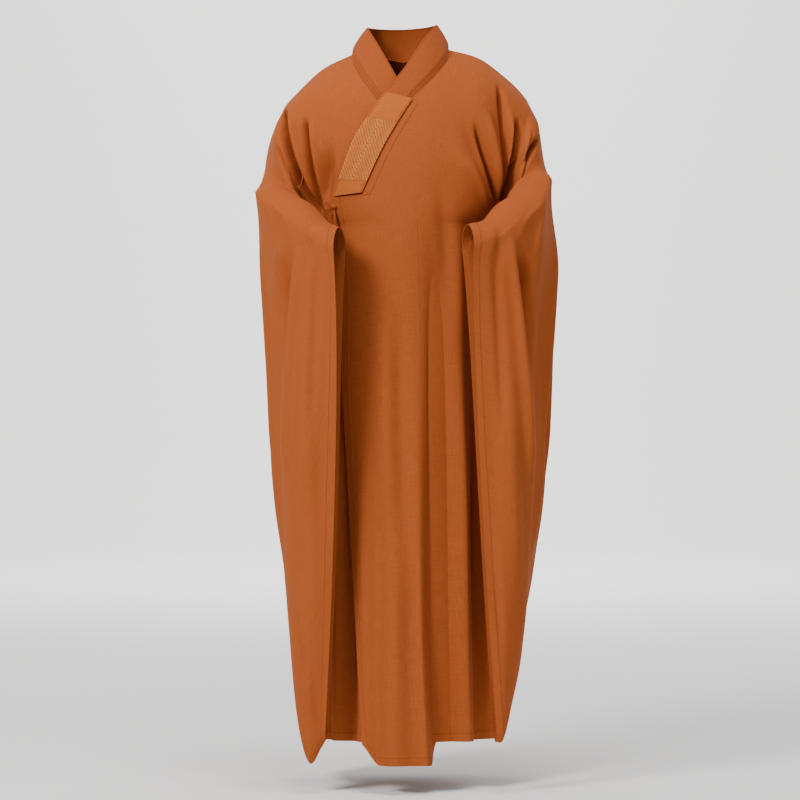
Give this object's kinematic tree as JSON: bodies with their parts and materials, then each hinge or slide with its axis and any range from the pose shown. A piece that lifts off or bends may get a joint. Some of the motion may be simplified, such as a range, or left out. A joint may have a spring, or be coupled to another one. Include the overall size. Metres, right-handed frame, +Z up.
{
  "type": "buddhist monk robe",
  "caption": "Long wide-sleeved monk's robe as worn, with a crossed layered collar, a quilted patch on the lapel, a side tie and deep hanging sleeves held in front",
  "frame": {"origin": "base of the neck, midway between the shoulders, where the wearer's shoulders and neck hold the robe", "axes": "+Z up, -Y towards the front of the robe, +X towards the wearer's left"},
  "size_m": [0.5904, 0.4359, 1.4478],
  "materials": {
    "cloth": "matte plain weave with fine slubs, burnt orange",
    "collar_cloth": "matte plain weave, burnt orange",
    "patch_cloth": "matte quilted cloth, lighter orange"
  },
  "bodies": {
    "root": {"body_left": "cloth", "body_right": "cloth", "overlap_outer": "cloth", "overlap_inner": "cloth", "sleeve_left": "cloth", "sleeve_right": "cloth", "collar_base": "collar_cloth", "collar_middle": "collar_cloth", "collar_top": "collar_cloth", "patch_upper": "patch_cloth", "patch_quilted": "patch_cloth", "patch_end": "patch_cloth", "tie_knot": "collar_cloth", "tie_loop": "collar_cloth", "tie_tail_front": "collar_cloth", "tie_tail_back": "collar_cloth"}
  },
  "joints": []
}
